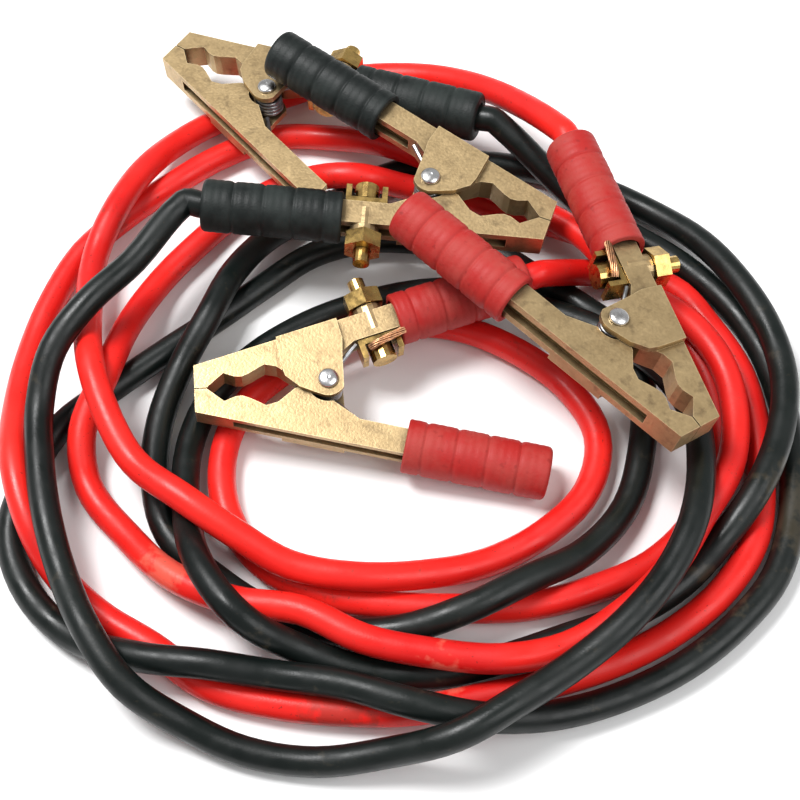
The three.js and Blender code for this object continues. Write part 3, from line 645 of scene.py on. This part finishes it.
def strand_tree():
    """Geometry nodes that lay a twisted bundle of round strands along a path."""
    tree = bpy.data.node_groups.new("twisted_strands", "GeometryNodeTree")
    tree.interface.new_socket("Geometry", in_out="OUTPUT", socket_type="NodeSocketGeometry")
    tree.interface.new_socket("Geometry", in_out="INPUT", socket_type="NodeSocketGeometry")
    defaults = {"Strands": STRANDS_IN_BUNDLE, "Bundle Radius": BUNDLE_RADIUS * MM,
                "Strand Radius": STRAND_RADIUS * MM, "Twist": STRAND_TWIST}
    for name, value in defaults.items():
        kind = "NodeSocketInt" if isinstance(value, int) else "NodeSocketFloat"
        tree.interface.new_socket(name, in_out="INPUT", socket_type=kind).default_value = value

    def node(kind, **settings):
        """A new node in the tree with its settings."""
        made = tree.nodes.new(kind)
        for key, value in settings.items():
            setattr(made, key, value)
        return made

    given = node("NodeGroupInput").outputs
    path = node("GeometryNodeMeshToCurve")
    tree.links.new(given["Geometry"], path.inputs["Mesh"])
    along = node("GeometryNodeSplineParameter")
    turn = node("ShaderNodeMath", operation="MULTIPLY")
    tree.links.new(along.outputs["Factor"], turn.inputs[0])
    tree.links.new(given["Twist"], turn.inputs[1])
    tilt = node("GeometryNodeSetCurveTilt")
    tree.links.new(path.outputs["Curve"], tilt.inputs["Curve"])
    tree.links.new(turn.outputs[0], tilt.inputs["Tilt"])
    places = node("GeometryNodeMeshCircle")
    tree.links.new(given["Strands"], places.inputs["Vertices"])
    tree.links.new(given["Bundle Radius"], places.inputs["Radius"])
    ring = node("GeometryNodeCurvePrimitiveCircle")
    ring.inputs["Resolution"].default_value = STRAND_SIDES
    tree.links.new(given["Strand Radius"], ring.inputs["Radius"])
    rings = node("GeometryNodeInstanceOnPoints")
    tree.links.new(places.outputs["Mesh"], rings.inputs["Points"])
    tree.links.new(ring.outputs["Curve"], rings.inputs["Instance"])
    section = node("GeometryNodeRealizeInstances")
    tree.links.new(rings.outputs["Instances"], section.inputs["Geometry"])
    wires = node("GeometryNodeCurveToMesh")
    wires.inputs["Fill Caps"].default_value = True
    tree.links.new(tilt.outputs["Curve"], wires.inputs["Curve"])
    tree.links.new(section.outputs["Geometry"], wires.inputs["Profile Curve"])
    real = node("GeometryNodeRealizeInstances")
    tree.links.new(wires.outputs["Mesh"], real.inputs["Geometry"])
    finish = node("GeometryNodeSetMaterial")
    finish.inputs["Material"].default_value = COPPER
    tree.links.new(real.outputs["Geometry"], finish.inputs["Geometry"])
    tree.links.new(finish.outputs["Geometry"], node("NodeGroupOutput").inputs["Geometry"])
    return tree


def make_strands(name, tree):
    """Bare copper strands from the cable sleeve over the saddle's prong and round the bolt head."""
    matrix = clamp_matrix(name)
    points = []
    for step in range(STRANDS_STEPS + 1):
        t = step / STRANDS_STEPS
        along = STRANDS_START - (STRANDS_START - STRANDS_END) * t
        z = math.sqrt(STRANDS_HEIGHT ** 2 - min(0, along) ** 2)
        points.append(matrix @ Vector(terminal_point(STRANDS_OUT - STRANDS_DRIFT * t, along, z)))
    data = bpy.data.meshes.new(f"{name}_strand_path")
    data.from_pydata(points, [(k, k + 1) for k in range(STRANDS_STEPS)], [])
    path = add_object(f"{name}_strand_path", data)
    modifier = path.modifiers.new("strands", "NODES")
    modifier.node_group = tree
    evaluated = path.evaluated_get(bpy.context.evaluated_depsgraph_get())
    made = bpy.data.meshes.new_from_object(evaluated)
    made.name = f"{name}_copper_strands"
    path.modifiers.remove(modifier)
    bpy.data.objects.remove(path)
    strands = add_object(f"{name}_copper_strands", made)
    shade_by_angle(strands, STRAND_SHARP_ANGLE)
    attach(strands, FIXED_BODY)


def make_cable(colour, route):
    """A lead: one smooth spline through the route's points."""
    data = bpy.data.curves.new(f"{colour}_lead", "CURVE")
    data.dimensions = "3D"
    data.bevel_depth = CABLE_DIAMETER / 2 * LEAD_SQUEEZE
    data.bevel_resolution = LEAD_ROUNDNESS
    data.resolution_u = LEAD_STEPS
    data.use_fill_caps = True
    spline = data.splines.new("BEZIER")
    spline.bezier_points.add(len(route) - 1)
    points = [Vector(p) for p in route]
    for k, (point, knot) in enumerate(zip(points, spline.bezier_points)):
        before = points[max(k - 1, 0)]
        after = points[min(k + 1, len(points) - 1)]
        along = (after - before).normalized()
        knot.co = point
        knot.handle_left_type = knot.handle_right_type = "FREE"
        knot.handle_left = point - along * (point - before).length / 3
        knot.handle_right = point + along * (after - point).length / 3
    data.materials.append(MATERIALS[f"{colour}_pvc"])
    lead = add_object(f"{colour}_lead", data)
    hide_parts(f"{colour}_cable")
    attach(lead, FIXED_BODY)


# Stage

def make_stage():
    """A pale floor that the leads lie on."""
    data = bpy.data.meshes.new("floor")
    corners = [(x * FLOOR_REACH, y * FLOOR_REACH, FLOOR_Z) for x, y in ((-1, -1), (1, -1), (1, 1), (-1, 1))]
    data.from_pydata(corners, [], [(0, 1, 2, 3)])
    g = Graph("pale_floor", 0.7)
    g.shader.inputs["Base Color"].default_value = (*FLOOR_COLOUR, 1)
    data.materials.append(g.material)
    floor = add_object("floor", data)


def add_area_light(name, place, power, size):
    """A square soft lamp that faces the middle of the set."""
    light = bpy.data.lights.new(name, "AREA")
    light.energy = power
    light.size = size
    obj = add_object(name, light)
    obj.location = place
    obj.rotation_euler = (-Vector(place)).to_track_quat("-Z", "Y").to_euler()


def make_camera():
    """The camera that sees the set as the photograph does."""
    data = bpy.data.cameras.new("camera")
    data.lens = CAMERA_LENS_MM
    data.sensor_width = CAMERA_SENSOR_MM
    camera = add_object("camera", data)
    away = Vector((0, -math.cos(CAMERA_ELEVATION), math.sin(CAMERA_ELEVATION)))
    camera.location = CAMERA_TARGET + away * CAMERA_DISTANCE
    camera.rotation_euler = (-away).to_track_quat("-Z", "Y").to_euler()
    bpy.context.scene.camera = camera


def make_world():
    """Even white light from all round."""
    world = bpy.data.worlds.new("soft_white")
    world.use_nodes = True
    background = world.node_tree.nodes["Background"]
    background.inputs["Color"].default_value = (1, 1, 1, 1)
    background.inputs["Strength"].default_value = WORLD_STRENGTH
    bpy.context.scene.world = world


make_camera()
make_cable("red", RED_ROUTE)
make_cable("black", BLACK_ROUTE)
dress_cad_nodes()
strands_tree = strand_tree()
for clamp_name in CLAMPS:
    make_sleeve(clamp_name, "cable", FIXED_BODY)
    if f"{clamp_name}_free_sleeve" in frame["nodes"]:
        make_sleeve(clamp_name, "free", f"{clamp_name}_free_side")
    make_spring(clamp_name)
    make_rivet(clamp_name)
    make_strands(clamp_name, strands_tree)
make_stage()
make_world()
for lamp_name, lamp in LAMPS.items():
    add_area_light(lamp_name, **lamp)
bpy.context.scene.view_settings.view_transform = "Standard"
